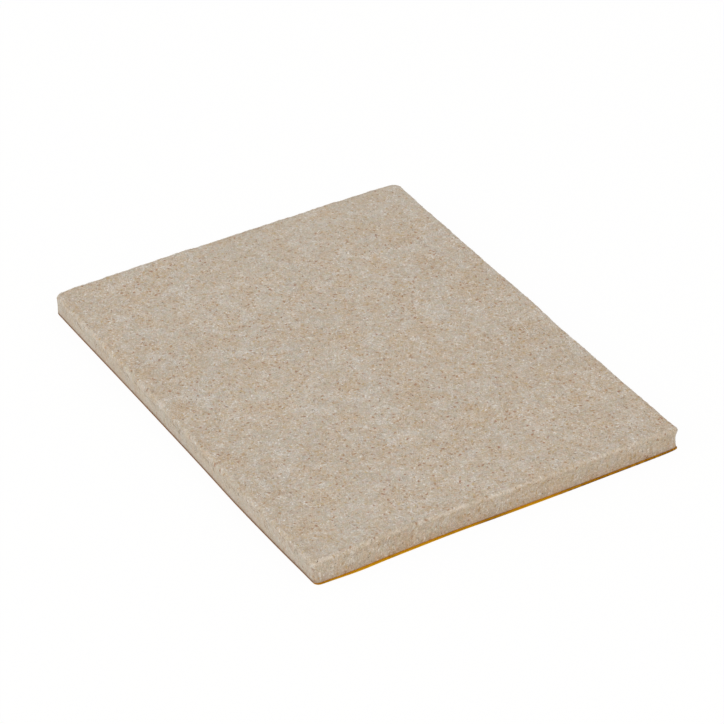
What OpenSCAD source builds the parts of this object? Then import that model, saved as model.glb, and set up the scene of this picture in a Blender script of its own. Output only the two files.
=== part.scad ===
// Self-adhesive felt furniture pad: a felt slab on double-sided tape, lying on its release liner.
// The felt side faces up, as the pad lies before it is used. X runs along the width, Y along the
// length and Z up. The origin is the centre of the liner's underside. Sizes are in millimetres.

/* [Felt] */
// Width of the pad, along X
pad_w = 80; // [40:1:160]
// Length of the pad, along Y
pad_l = 100; // [50:1:200]
// Thickness of the felt
felt_t = 5; // [3:0.1:8]

/* [Cut edge] */
// Corner radius at the near left, seen from above
near_left_r = 1.1; // [0.8:0.1:5]
// Corner radius at the near right
near_right_r = 0.9; // [0.8:0.1:5]
// Corner radius at the far right
far_right_r = 2; // [0.8:0.1:5]
// Corner radius at the far left
far_left_r = 1.1; // [0.8:0.1:5]
// Radius of the soft shoulder round the top of the felt
shoulder_r = 0.8; // [0.2:0.1:1.5]
// How far the cut side of the felt draws in at its waist
waist_in = 0.3; // [0.05:0.05:0.6]

/* [Tape] */
// Thickness of the adhesive coat that holds the tape to the felt
felt_side_adhesive_t = 0.05; // [0.02:0.01:0.2]
// Thickness of the tissue between the two coats
carrier_t = 0.03; // [0.01:0.01:0.1]
// Thickness of the adhesive coat that holds the pad to the furniture
base_side_adhesive_t = 0.05; // [0.02:0.01:0.2]

/* [Release liner] */
// Thickness of the liner paper
liner_t = 0.1; // [0.05:0.01:0.3]
// How far the liner stands out past the pad along its near edge
liner_lip = 0.55; // [0:0.05:3]

/* [Hidden] */

$fn = 64;

// Every cut runs past the solid that it cuts by this much.
overrun = 1;

// Points on the drawn-in part of the side, and on the shoulder above it.
waist_steps = 6;
shoulder_steps = 4;

// The pad sits back from the liner's near edge by the lip, so its centre lies half a lip along Y.
pad_y = liner_lip / 2;

// The stack, from the surface that the part lies on.
base_side_adhesive_z = liner_t;
carrier_z = base_side_adhesive_z + base_side_adhesive_t;
felt_side_adhesive_z = carrier_z + carrier_t;
felt_z = felt_side_adhesive_z + felt_side_adhesive_t;

// Each corner's side of the centre along X and Y, and its radius.
corners = [
    [-1, -1, near_left_r],
    [1, -1, near_right_r],
    [1, 1, far_right_r],
    [-1, 1, far_left_r],
];
largest_corner_r = max([for (c = corners) c[2]]);

// The cut side of the felt from its foot to its top, as [distance out from the cut line, height].
// It draws in along half a sine wave, comes back to the cut line and turns in along the shoulder.
wall_h = felt_t - shoulder_r;
side_profile = concat(
    [for (i = [0:waist_steps])
        let (share = i / waist_steps)
        [-waist_in * sin(180 * share), wall_h * share]],
    [for (i = [1:shoulder_steps])
        let (turn = 90 * i / shoulder_steps)
        [-shoulder_r * (1 - cos(turn)), wall_h + shoulder_r * sin(turn)]]
);

// What lies outside the side profile, out to a distance that clears the squarest corner.
trimmed_profile = concat(side_profile, [
    [-shoulder_r, felt_t + overrun],
    [largest_corner_r, felt_t + overrun],
    [largest_corner_r, -overrun],
    [0, -overrun],
]);

// Puts its children at each corner's centre, turned so that the corner points along +X and +Y.
// The children read the corner's radius from $corner_r.
module at_corners(width, length) {
    for (c = corners) {
        $corner_r = c[2];
        translate([c[0] * (width / 2 - c[2]), c[1] * (length / 2 - c[2]), 0])
            rotate(atan2(c[1], c[0]) - 45)
                children();
    }
}

// A block centred on Z.
module block(width, length, thickness) {
    translate([-width / 2, -length / 2, 0])
        cube([width, length, thickness]);
}

// A flat sheet with the four cut corners.
module cut_sheet(width, length, thickness) {
    difference() {
        block(width, length, thickness);
        at_corners(width, length)
            translate([0, 0, -overrun])
                difference() {
                    cube([$corner_r + overrun, $corner_r + overrun, thickness + 2 * overrun]);
                    cylinder(r = $corner_r, h = thickness + 2 * overrun);
                }
    }
}

// The trimmings along the four straight sides of the felt.
module side_trimmings() {
    for (turn = [0:90:270]) {
        reach = turn % 180 == 0 ? pad_w / 2 : pad_l / 2;
        run = (turn % 180 == 0 ? pad_l : pad_w) + 2 * overrun;
        rotate(turn)
            translate([reach, 0, 0])
                rotate([90, 0, 0])
                    linear_extrude(height = run, center = true)
                        polygon(trimmed_profile);
    }
}

// The trimmings round the four corners of the felt. A shoulder wider than its corner stops at the
// corner's centre.
module corner_trimmings() {
    at_corners(pad_w, pad_l)
        rotate_extrude(angle = 90)
            polygon([for (p = trimmed_profile) [max(0, $corner_r + p[0]), p[1]]]);
}

// Needle-punched felt slab with a soft top edge and sides that draw in where the blade went through.
module felt_pad() {
    color([0.73, 0.66, 0.58])
        translate([0, pad_y, felt_z])
            difference() {
                block(pad_w, pad_l, felt_t);
                side_trimmings();
                corner_trimmings();
            }
}

// Adhesive coat that bonds the tape to the felt.
module felt_side_adhesive() {
    color([0.62, 0.45, 0.22])
        translate([0, pad_y, felt_side_adhesive_z])
            cut_sheet(pad_w, pad_l, felt_side_adhesive_t);
}

// Thin tissue in the middle of the tape, which keeps the two coats in one piece.
module tissue_carrier() {
    color([0.86, 0.82, 0.74])
        translate([0, pad_y, carrier_z])
            cut_sheet(pad_w, pad_l, carrier_t);
}

// Adhesive coat that sticks to the furniture once the liner is off.
module base_side_adhesive() {
    color([0.66, 0.5, 0.27])
        translate([0, pad_y, base_side_adhesive_z])
            cut_sheet(pad_w, pad_l, base_side_adhesive_t);
}

// Yellow release paper, flush with the pad but for a narrow lip along the near edge.
module release_liner() {
    color([0.85, 0.62, 0.08])
        cut_sheet(pad_w, pad_l + liner_lip, liner_t);
}

release_liner();
base_side_adhesive();
tissue_carrier();
felt_side_adhesive();
felt_pad();
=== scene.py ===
"""Felt furniture pad: the looks of a self-adhesive felt pad that lies on its release liner.

The file is laid out as an add-on and run as a script. Each operator makes one piece, or a group of
like pieces, round the pad's solids, and the sidebar panel lists the operators in order. Lengths are in
metres. X runs along the pad's width, Y along its length and Z up, out of the felt.
"""

import bpy
import numpy as np
from bpy.props import FloatProperty, FloatVectorProperty, IntProperty, PointerProperty
from mathutils import Matrix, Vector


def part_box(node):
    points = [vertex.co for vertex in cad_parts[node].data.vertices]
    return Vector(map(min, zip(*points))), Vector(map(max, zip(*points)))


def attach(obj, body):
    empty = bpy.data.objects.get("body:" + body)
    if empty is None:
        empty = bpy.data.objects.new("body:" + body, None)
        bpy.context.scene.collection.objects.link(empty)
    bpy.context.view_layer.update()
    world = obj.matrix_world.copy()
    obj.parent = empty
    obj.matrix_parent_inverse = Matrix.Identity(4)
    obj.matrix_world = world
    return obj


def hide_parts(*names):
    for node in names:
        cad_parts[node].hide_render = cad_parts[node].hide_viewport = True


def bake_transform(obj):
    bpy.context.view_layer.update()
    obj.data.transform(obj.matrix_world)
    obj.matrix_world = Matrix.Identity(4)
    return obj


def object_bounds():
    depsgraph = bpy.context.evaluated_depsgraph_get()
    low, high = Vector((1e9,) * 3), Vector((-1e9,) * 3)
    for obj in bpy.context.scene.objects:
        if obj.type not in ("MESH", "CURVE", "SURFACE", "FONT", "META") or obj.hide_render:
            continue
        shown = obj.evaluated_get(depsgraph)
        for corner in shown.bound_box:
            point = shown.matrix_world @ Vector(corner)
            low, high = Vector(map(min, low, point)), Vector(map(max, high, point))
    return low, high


bl_info = {
    "name": "Felt furniture pad",
    "version": (1, 0, 0),
    "blender": (4, 5, 0),
    "location": "View3D > Sidebar > Felt pad",
    "description": "Builds a self-adhesive felt furniture pad with its tape and release liner",
    "category": "Object",
}

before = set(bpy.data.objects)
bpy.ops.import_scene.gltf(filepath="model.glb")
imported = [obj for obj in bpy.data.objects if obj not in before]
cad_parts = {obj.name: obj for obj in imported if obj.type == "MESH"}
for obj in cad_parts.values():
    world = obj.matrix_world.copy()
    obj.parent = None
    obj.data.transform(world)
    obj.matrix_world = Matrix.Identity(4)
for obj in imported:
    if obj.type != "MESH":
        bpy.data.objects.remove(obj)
CAD_LOW, CAD_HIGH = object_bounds()
FELT_LOW, FELT_HIGH = (np.array(corner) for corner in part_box("felt_pad"))

MM = 0.001
TURN = 2 * np.pi
# Sheets keep their cut edges sharp.
CREASE = np.radians(50)
# Name of the UV map that pieces bring for baking.
BAKE_MAP = "OFBake"

# Values on the pieces' points that the materials read.
TONE = "fibre_tone"
CUT = "cut_edge"
# Teased band on the shoulder: lighter teased fibres with a painted highlight.
TEASED_HIGHLIGHT = "teased_and_highlit_edge"
CALM = "calm_side"
# Foot line: soaked-in adhesive with painted shade where the felt meets the tape.
SOAKED_AND_SHADED = "soaked_and_shaded_foot"
GLUED = "glued_foot"
# Painted shade, warmed by a painted reflection of the yellow liner, darker towards the foot of the wall.
FOOT_SHADE = "painted_foot_shade"
# Top darker near its left and right rims, with painted shade towards the near right corner.
RIM_AND_CORNER_SHADE = "darker_rim_and_corner_shade"
FELT_VALUES = (TEASED_HIGHLIGHT, CALM, SOAKED_AND_SHADED, GLUED, FOOT_SHADE, RIM_AND_CORNER_SHADE)

# Seeds of the random draws.
SLOW_SEED, MATTED_SEED, TEASED_HIGHLIGHT_SEED = 11, 12, 13
FIBRE_SEED, FRINGE_SEED, TUFT_SEED = 100, 200, 300

# Points along a fibre's tube, sides round it, how slim its tips are, and how deep its held ends lie.
FIBRE_POINTS = 6
FIBRE_SIDES = 3
TIP_SHARE = 0.45
SUNK = 0.04 * MM
# A loose end rises with this power of the way along.
LOOSE_POWER = 1.5
# Chance in the fibres: shape of the beta spread of lengths, spread of bends, and range of lifts.
LENGTH_SHAPE = (1.6, 3.0)
BEND_SPREAD = 1.1
LIFT_RANGE = (0.35, 1.0)
# Shares of the fibres with one loose end.
LOOSE_ON_FELT = 0.2
LOOSE_IN_FRINGE = 0.5

# Swells and hollows in the cut line at the pad's foot, as (height outwards, place along the side, spread)
# in millimetres.
PAD_CUT = {
    "near": (
        (0.08, -41, 2), (0.3, -33, 5), (-0.16, -10, 5), (0.1, 14, 8), (0.15, 34, 13), (-0.1, 40.5, 1.5),
    ),
    "far": (
        (0.2, -41, 3), (0.13, -10, 5), (-0.12, 8, 2.5), (0.13, 17, 7), (0.15, 29, 3), (-0.45, 41.5, 3),
    ),
    "left": ((-0.33, -50, 6), (0.2, -23, 8), (-0.08, 20, 16), (-0.05, 49, 3)),
    "right": (
        (0.8, -50.3, 1.2), (-0.22, -30, 4.5), (-0.17, -10, 4), (0.16, -2, 3), (0.1, 8, 3), (-0.1, 14, 3),
        (-0.1, 37, 3), (0.3, 50.3, 1.8),
    ),
}
# The sides lean: at the top of the felt, the cut line strays by this as well.
PAD_LEAN = {
    "near": ((0.17, -41, 2), (-0.3, -29, 8), (0.22, 0, 7), (0.27, 34, 13), (0.37, 40.5, 1.6)),
    "far": ((-0.45, -40.5, 1.4), (-0.45, -41, 4), (-0.35, -41, 9)),
    "left": ((0.4, 0, 500), (0.15, 40, 20), (0.1, 50, 3)),
    "right": ((-0.48, -50.3, 1.2),),
}
# The liner has a cut line of its own at the near end, and draws in at the left.
LINER_CUT = {
    **PAD_CUT,
    "near": (
        (-0.1, -42, 3), (0.25, -30.5, 3.5), (-0.2, -10, 6), (0.09, 12, 8), (0.05, 28, 10), (-0.28, 41, 2),
    ),
    "left": (*PAD_CUT["left"], (-0.14, 0, 60)),
}
# Dark spots in the adhesive along the near side, as (darkness, place along the side, spread).
GLUE_SPOTS = ((1.0, -41, 3), (0.45, -23, 0.5), (0.4, -10.5, 1.3), (0.85, -1.5, 2.6))
# Least darkness of the adhesive there, and where along the side it starts to rise and over how far.
GLUE_LEAST = 0.1
GLUE_FROM = 10 * MM
GLUE_RISE = 7 * MM
# The swells die away over this distance inwards from the cut line.
SWELL_FADE = 6 * MM
# Share of the edge's dust that lies on the near margin of a sheet, and half the width of that margin.
MARGIN_DUST = 0.4
MARGIN_HALF = 0.5 * MM


def from_srgb(red, green, blue):
    """A colour given as it shows on screen, from 0 to 255, as the linear colour that shaders use."""
    shown = np.array([red, green, blue]) / 255
    linear = np.where(shown <= 0.04045, shown / 12.92, ((shown + 0.055) / 1.055) ** 2.4)
    return tuple(float(value) for value in linear)


def length(name, description, default, low=0.0):
    """A length property, with its default and its lowest value in millimetres."""
    return FloatProperty(
        name=name, description=description, default=default * MM, min=low * MM, unit="LENGTH", precision=5
    )


def share(name, description, default):
    """A property from 0 to 1."""
    return FloatProperty(name=name, description=description, default=default, min=0, max=1, subtype="FACTOR")


def positive(name, description, default, unit="NONE"):
    """A property that isn't negative."""
    return FloatProperty(name=name, description=description, default=default, min=0, unit=unit)


def angle(name, description, degrees):
    """An angle property, with its default in degrees."""
    return FloatProperty(name=name, description=description, default=np.radians(degrees), subtype="ANGLE")


def number(name, description, default, low=1):
    """A property that counts something."""
    return IntProperty(name=name, description=description, default=default, min=low)


def colour(name, description, *shown):
    """A colour property, with its default given as it shows on screen."""
    return FloatVectorProperty(
        name=name, description=description, default=from_srgb(*shown), min=0, max=1, size=3, subtype="COLOR"
    )


class FeltSettings(bpy.types.PropertyGroup):
    """Sizes and colours of the felt slab."""

    near_left_radius: length("Near left corner", "Corner radius at the near left", 1.1)
    near_right_radius: length("Near right corner", "Corner radius at the near right", 0.9)
    far_right_radius: length("Far right corner", "Corner radius at the far right", 2.0)
    far_left_radius: length("Far left corner", "Corner radius at the far left", 1.1)
    shoulder: length("Shoulder", "Radius of the soft edge round the top", 0.8)
    waist: length("Waist", "How far the cut side draws in half way up", 0.3)
    slow_relief: length("Slow relief", "Spread of the slab's slow unevenness", 0.035)
    matted_relief: length("Matted relief", "Spread of the bumps that the matted fibres make", 0.02)
    columns: number("Columns", "Grid points across the width", 236, low=8)
    rows: number("Rows", "Grid points along the length", 292, low=8)
    beige: colour("Beige", "Ground of the felt", 184, 176, 164)
    cream: colour("Cream", "Pale fibres in the felt", 220, 218, 216)
    cool: colour("Cool", "Pale greyish clumps", 189, 183, 180)
    honey: colour("Honey", "Warm clumps, a little darker than the ground", 184, 167, 144)
    pink: colour("Pink", "Pinkish clumps", 190, 169, 158)
    sage: colour("Sage", "Greenish clumps", 180, 177, 159)
    tuft: colour("Tuft", "Palest fibres", 240, 237, 233)
    # Colour of the teased fibres, and of the painted highlight along the shoulder.
    teased_and_highlight: colour("Teased", "Fibres teased out along the edge", 222, 214, 206)
    tan: colour("Tan", "Warm patches and fibres in the felt", 188, 160, 126)
    ochre: colour("Ochre", "Yellowish flecks in the felt", 184, 164, 124)
    rust: colour("Rust", "Reddish flecks in the felt", 150, 104, 80)
    brown: colour("Brown", "Dark flecks in the felt", 94, 72, 56)
    # Darkens the top's rims and paints shade towards its near right corner.
    rim_tint_and_shade: colour("Rubbed", "Dull rim and corner of the top", 170, 148, 122)
    # Soaked-in adhesive and painted shade in a line along the foot.
    soaked_and_shaded: colour("Soaked", "Foot of the felt, where adhesive and dust have soaked in", 106, 72, 38)
    glue: colour("Glue", "Foot at the near end, where the adhesive is squeezed out", 112, 58, 8)
    # Painted shade, warmed by a painted reflection of the yellow liner, above the foot.
    foot_shade_tint: colour("Stain", "Faint stain above the foot", 144, 98, 67)


class FibreSettings(bpy.types.PropertyGroup):
    """Numbers and sizes of the loose fibres on the felt."""

    cream_count: number("Cream fibres", "Number of pale loose fibres", 5200)
    tan_count: number("Tan fibres", "Number of warm loose fibres", 3000)
    brown_count: number("Brown fibres", "Number of dark loose fibres", 420)
    tuft_count: number("Tufts", "Number of pale tufts on the top", 260)
    wall_tuft_count: number("Wall tufts", "Number of pale tufts on the near side", 26)
    tuft_fibres: number("Tuft fibres", "Fibres in one tuft", 7)
    tuft_spread: length("Tuft spread", "How far a tuft's fibres start from its middle", 0.11)
    fringe_count: number("Fringe", "Number of fibres round the shoulder and on the sides", 4200)
    radius: length("Radius", "Radius of a fibre", 0.022)
    shortest: length("Shortest", "Length of the shortest fibre", 0.8)
    longest: length("Longest", "Length of the longest fibre", 4.0)
    lift: length("Lift", "How high a fibre bows off the felt", 0.04)
    fringe_lift: length("Fringe lift", "How far a fringe fibre's loose end stands off", 0.1)


class TapeSettings(bpy.types.PropertyGroup):
    """Colours of the double-sided tape."""

    amber: colour("Amber", "Adhesive over the felt", 201, 181, 146)
    tissue: colour("Tissue", "Fibres of the tissue, seen through the adhesive", 222, 210, 186)
    edge: colour("Edge", "Adhesive at the cut edge", 186, 122, 24)
    dust: colour("Dust", "Dust that the sticky cut edge has gathered", 144, 92, 38)
    columns: number("Columns", "Grid points across the width", 80, low=8)
    rows: number("Rows", "Grid points along the length", 100, low=8)


class LinerSettings(bpy.types.PropertyGroup):
    """Sizes and colours of the release liner."""

    columns: number("Columns", "Grid points across the width", 60, low=8)
    rows: number("Rows", "Grid points along the length", 160, low=8)
    yellow: colour("Yellow", "Dyed paper", 220, 167, 10)
    amber: colour("Amber", "Denser patches of the paper", 205, 147, 5)
    edge: colour("Edge", "Cut edge of the paper", 246, 200, 30)
    dust: colour("Dust", "Dust that sticks to the edge of the paper", 106, 54, 4)
    cling_from: length("Cling from", "Distance from the peel line at which the liner leaves the table", 24)
    cling_to: length("Cling to", "Distance from the peel line within which the liner still sticks", 5)


class StageSettings(bpy.types.PropertyGroup):
    """Camera, lamps and floor."""

    azimuth: angle("Azimuth", "Way the camera looks, from +Y towards +X", 31.941)
    elevation: angle("Elevation", "Camera's angle above the horizon", 35.53)
    roll: angle("Roll", "Camera's turn about its own axis", -0.722)
    distance: length("Distance", "From the camera to the pad, along the view", 661.08)
    offset_right: length("Offset right", "Pad's place right of the view's middle", -0.754, low=-50)
    offset_down: length("Offset down", "Pad's place below the view's middle", 3.442, low=-50)
    focal: positive("Focal length", "Focal length in picture widths", 3394 / 724)
    sky: positive("Sky", "Strength of the even light all round", 0.852)
    sky_tint: colour("Sky tint", "Light of the room", 255, 254, 252)
    key: positive("Key lamp", "Power of the soft lamp on the left", 4.24, unit="POWER")
    key_tint: colour("Key tint", "Light of the lamp on the left", 255, 249, 232)
    fill: positive("Fill lamp", "Power of the weak lamp in front", 2.4, unit="POWER")
    fill_tint: colour("Fill tint", "Warm light of the lamp in front", 255, 203, 62)
    floor: share("Floor", "How much light the floor sends back", 0.85)
    floor_glow: share("Floor glow", "Share of the floor's white that doesn't depend on the lamps", 0.95)


# Numpy surfaces


def wave_noise(points, shortest, longest, seed, waves=96):
    """Smooth noise of unit spread at points (..., 3): a sum of plane waves.

    Each wave runs in its own random direction, with a wavelength between shortest and longest and a
    random phase. The sum is divided by the root of half the number of waves.
    """
    rng = np.random.default_rng(seed)
    ways = rng.normal(size=(3, waves))
    ways /= np.linalg.norm(ways, axis=0)
    lengths = np.exp(rng.uniform(np.log(shortest), np.log(longest), waves))
    phases = rng.uniform(0, TURN, waves)
    swings = np.cos(points.reshape(-1, 3) @ (TURN * ways / lengths) + phases)
    return (swings.sum(axis=1) / np.sqrt(waves / 2)).reshape(points.shape[:-1])


def smooth_step(value):
    """0 below 0 and 1 above 1, with an easy curve between."""
    held = np.clip(value, 0, 1)
    return held * held * (3 - 2 * held)


def graded_line(count, half, grading=0.33):
    """Places from -half to half, closer together towards both ends: t plus a share of t less t cubed."""
    t = np.linspace(-1, 1, count)
    return half * (t + grading * (t - t**3))


def unit(vectors):
    """Vectors (..., 3) scaled to length 1."""
    return vectors / np.linalg.norm(vectors, axis=-1, keepdims=True)


def bells(swells, along):
    """Sum of bell curves along a side, each (height, place, spread) with the last two in millimetres."""
    return sum(tall * np.exp(-(((along / MM - place) / spread) ** 2) / 2) for tall, place, spread in swells)


def glue_share(x):
    """How dark the squeezed-out adhesive is along the near side: in a few spots, and over the right half."""
    right = (1 - GLUE_LEAST) * smooth_step((x - GLUE_FROM) / GLUE_RISE)
    return np.minimum(GLUE_LEAST + bells(GLUE_SPOTS, x) + right, 1)


def edge_wander(x, y, half, cut, rise=0.0):
    """How far a cut line strays at plan points, along x and along y.

    Each side strays by a sum of bell curves along its length, plus rise times the sum for its lean, and
    its straying dies away inwards.
    """

    def strays(side, along, distance):
        swells = bells(cut[side], along) + rise * bells(PAD_LEAN[side], along)
        return MM * swells * smooth_step(1 - distance / SWELL_FADE)

    across = strays("right", y, half[0] - x) - strays("left", y, half[0] + x)
    along = strays("far", x, half[1] - y) - strays("near", x, half[1] + y)
    return across, along


class CutPlan:
    """Outline of a die-cut sheet: a rectangle with four corner radii, sampled on a grid.

    x and y are grids (rows, columns) of plan points, drawn in from the outline by inset. The border is
    taken once round, anticlockwise from above and from the near left corner: border holds its places in
    the grid, line the points of the outline itself, out the directions out of it, travel the distance
    round it and round the whole way.
    """

    def __init__(self, half, columns, rows, radii, inset):
        self.half = half
        x, y = np.meshgrid(graded_line(columns, half[0] - inset), graded_line(rows, half[1] - inset))
        self.x, self.y, out = self.rounded(x, y, radii)
        index = np.arange(rows * columns).reshape(rows, columns)
        self.index = index
        self.border = np.concatenate([index[0, :-1], index[:-1, -1], index[-1, :0:-1], index[:0:-1, 0]])
        self.out = out.reshape(-1, 2)[self.border]
        self.line = self.plan_points()[self.border] + self.out * inset
        steps = np.linalg.norm(np.roll(self.line, -1, axis=0) - self.line, axis=1)
        self.round = steps.sum()
        self.travel = np.append(0, np.cumsum(steps)[:-1])

    def rounded(self, x, y, radii):
        """Bends a rectangle's grid to its corner radii, and gives the direction outwards at each point.

        A point in a corner's square keeps its direction from the corner's centre, and its distance becomes
        the larger of its two offsets, so that the square's outer edges become an arc.
        """
        near_left, near_right, far_right, far_left = radii
        near, far = np.where(x < 0, near_left, near_right), np.where(x < 0, far_left, far_right)
        radius = np.where(y < 0, near, far)
        off_x = np.abs(x) - (self.half[0] - radius)
        off_y = np.abs(y) - (self.half[1] - radius)
        in_corner = (off_x > 0) & (off_y > 0)
        reach = np.where(in_corner, np.hypot(off_x, off_y), 1)
        pull = np.where(in_corner, np.maximum(off_x, off_y) / reach, 1)
        bent_x = np.sign(x) * (self.half[0] - radius + off_x * pull)
        bent_y = np.sign(y) * (self.half[1] - radius + off_y * pull)
        out_x = np.where(in_corner, off_x / reach, off_x >= off_y) * np.sign(x)
        out_y = np.where(in_corner, off_y / reach, off_x < off_y) * np.sign(y)
        return bent_x, bent_y, np.stack([out_x, out_y], axis=-1)

    def plan_points(self):
        """The grid's plan points in a row (all, 2)."""
        return np.stack([self.x, self.y], axis=-1).reshape(-1, 2)

    def grid_faces(self, first=0, down=False):
        """Four-sided faces of the grid, facing up, or down."""
        i = self.index + first
        faces = np.stack([i[:-1, :-1], i[:-1, 1:], i[1:, 1:], i[1:, :-1]], axis=-1).reshape(-1, 4)
        return faces[:, ::-1] if down else faces

    def at(self, travel):
        """Points of the outline and directions out of it, at distances round it."""
        held = (*self.line.T, *self.out.T)
        x, y, out_x, out_y = (
            np.interp(travel, self.travel, values, period=self.round) for values in held
        )
        norm = np.hypot(out_x, out_y)
        return x, y, out_x / norm, out_y / norm


def strip_faces(rings):
    """Four-sided faces between rings (rings, points) of vertex numbers that go anticlockwise and down."""
    upper, lower = rings[:-1], rings[1:]
    sides = [upper, lower, np.roll(lower, -1, axis=1), np.roll(upper, -1, axis=1)]
    return np.stack(sides, axis=-1).reshape(-1, 4)


def flat_sheet(node, sizes, radii, cut_line):
    """Points and faces of a thin sheet that fills a CAD node's box, and what its material reads.

    A cut plan's grid, strayed, lies at the top of the box and, facing down, at its bottom. A strip joins
    the two along the outline. The cut edge is 1 there and 0 inside, and so is the dust on it, but for the
    near side, where it goes with the glue and lies more thinly on the margin of the upper face as well.
    """
    low, high = (np.array(corner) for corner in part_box(node))
    half, centre = (high - low)[:2] / 2, (high + low)[:2] / 2
    plan = CutPlan(half, sizes.columns, sizes.rows, radii, 0.0)
    across, along = edge_wander(plan.x, plan.y, half, cut_line)
    sheet = plan.plan_points() + centre + np.stack([across, along], axis=-1).reshape(-1, 2)
    points = np.concatenate([np.column_stack([sheet, np.full(len(sheet), z)]) for z in (high[2], low[2])])
    rings = np.stack([plan.border, plan.border + len(sheet)])
    faces = [plan.grid_faces(), plan.grid_faces(len(sheet), down=True), strip_faces(rings)]
    near = np.clip(-plan.out[:, 1], 0, 1)
    margin = smooth_step(2 - (plan.y + half[1]) / MARGIN_HALF)
    cut, dusty = np.zeros(len(points)), np.zeros(len(points))
    dusty[: len(sheet)] = (MARGIN_DUST * margin * glue_share(plan.x)).ravel()
    cut[rings] = 1
    dusty[rings] = 1 + near * (glue_share(plan.line[:, 0]) - 1)
    return points, faces, {CUT: cut, GLUED: dusty}


class FeltForm:
    """The felt's surface as functions of two parameters: plan x and y on top, travel and drop on the side.

    The plain form is a cut plan whose side turns down through a quarter-circle shoulder and then draws
    in along half a sine wave, most on the right. The cut line strays, and relief stands off along the
    surface's normal.
    """

    # Shortest and longest waves of the relief.
    SLOW = (8 * MM, 30 * MM)
    MATTED = (1.2 * MM, 4 * MM)
    # Matted bumps are this much longer upright than along the side.
    UPRIGHT = 3.0
    # The relief dies away over this height above the foot.
    FOOT_FADE = 0.8 * MM
    # It also loses this share on the way down the wall.
    RELIEF_LOSS = 0.5
    # Share of the waist on the near and far sides, and how much more the right has and less the left.
    WAIST_MIDDLE = 0.55
    WAIST_LEAN = 0.45
    # Fibres keep to this share of the way down the side.
    FIBRE_DROP = 0.94

    def __init__(self, sizes):
        self.sizes = sizes
        self.centre = (FELT_LOW + FELT_HIGH) / 2
        self.half = (FELT_HIGH - FELT_LOW)[:2] / 2
        self.reach = self.half - sizes.shoulder
        self.top_z, self.foot_z = FELT_HIGH[2], FELT_LOW[2]
        self.plan = CutPlan(self.half, sizes.columns, sizes.rows, corner_radii(sizes), sizes.shoulder)
        self.bend = sizes.shoulder * np.pi / 2
        self.wall = self.top_z - self.foot_z - sizes.shoulder
        self.drop = self.bend + self.wall

    def placed(self, x, y, z, normals, hold):
        """Plain plan points and heights, strayed, and lifted along the normals by the relief times hold."""
        rise = (z - self.foot_z) / (self.top_z - self.foot_z)
        across, along = edge_wander(x, y, self.half, PAD_CUT, rise)
        plain = np.stack([x + self.centre[0], y + self.centre[1], z], axis=-1)
        upright = plain / (1, 1, self.UPRIGHT)
        relief = self.sizes.slow_relief * wave_noise(plain, *self.SLOW, SLOW_SEED)
        relief = relief + self.sizes.matted_relief * wave_noise(upright, *self.MATTED, MATTED_SEED)
        moved = np.stack([across, along, np.zeros_like(z)], axis=-1)
        return plain + moved + normals * (relief * hold)[..., None]

    def top(self, x, y):
        """Points and normals of the top face at plan points from the felt's centre, held to the face."""
        x, y = (np.clip(values, -reach, reach) for values, reach in zip((x, y), self.reach))
        normals = np.zeros(x.shape + (3,))
        normals[..., 2] = 1
        return self.placed(x, y, np.full(x.shape, self.top_z), normals, np.ones(x.shape)), normals

    def side(self, travel, drop):
        """Points and normals of the side at a distance round the outline and a distance down the surface."""
        travel, drop = np.broadcast_arrays(travel, drop)
        x, y, out_x, out_y = self.plan.at(travel)
        turn = np.clip(drop / self.bend, 0, 1) * np.pi / 2
        fall = np.clip((drop - self.bend) / self.wall, 0, 1)
        waist = self.sizes.waist * (self.WAIST_MIDDLE + self.WAIST_LEAN * out_x)
        inset = self.sizes.shoulder * (1 - np.sin(turn)) + waist * np.sin(np.pi * fall)
        z = self.top_z - self.sizes.shoulder * (1 - np.cos(turn)) - self.wall * fall
        normals = np.stack([out_x * np.sin(turn), out_y * np.sin(turn), np.cos(turn)], axis=-1)
        hold = smooth_step((1 - fall) * self.wall / self.FOOT_FADE) * (1 - self.RELIEF_LOSS * fall)
        return self.placed(x - out_x * inset, y - out_y * inset, z, normals, hold), normals

    def fibre_side(self, travel, drop):
        """The side as fibres lie on it, clear of the foot."""
        return self.side(travel, np.clip(drop, 0, self.FIBRE_DROP * self.drop))

    def top_places(self, rng, count):
        """Random plan points on the top face."""
        return tuple(rng.uniform(-reach, reach, count) for reach in self.reach)


def corner_radii(felt):
    """The four corner radii, anticlockwise from the near left."""
    return felt.near_left_radius, felt.near_right_radius, felt.far_right_radius, felt.far_left_radius


def fibre_paths(chart, starts, headings, lengths, bends, lifts, loose):
    """Centre lines (fibres, points, 3) of fibres on a surface, and the surface's normals there.

    Each line runs from its start in the chart along its heading and turns steadily by its bend. A held
    fibre bows up between two sunken ends, and a loose one rises from one sunken end to a free one.
    """
    along = np.linspace(0, 1, FIBRE_POINTS)
    turn = headings[:, None] + bends[:, None] * (along - 0.5)
    step = lengths[:, None] / (FIBRE_POINTS - 1)
    u = starts[0][:, None] + (np.cumsum(np.cos(turn), axis=1) - np.cos(turn[:, :1])) * step
    v = starts[1][:, None] + (np.cumsum(np.sin(turn), axis=1) - np.sin(turn[:, :1])) * step
    surface, normals = chart(u, v)
    rise = np.where(loose[:, None], along**LOOSE_POWER, np.sin(np.pi * along))
    height = lifts[:, None] * rise - SUNK * (1 - rise)
    return surface + normals * height[..., None], normals


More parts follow.
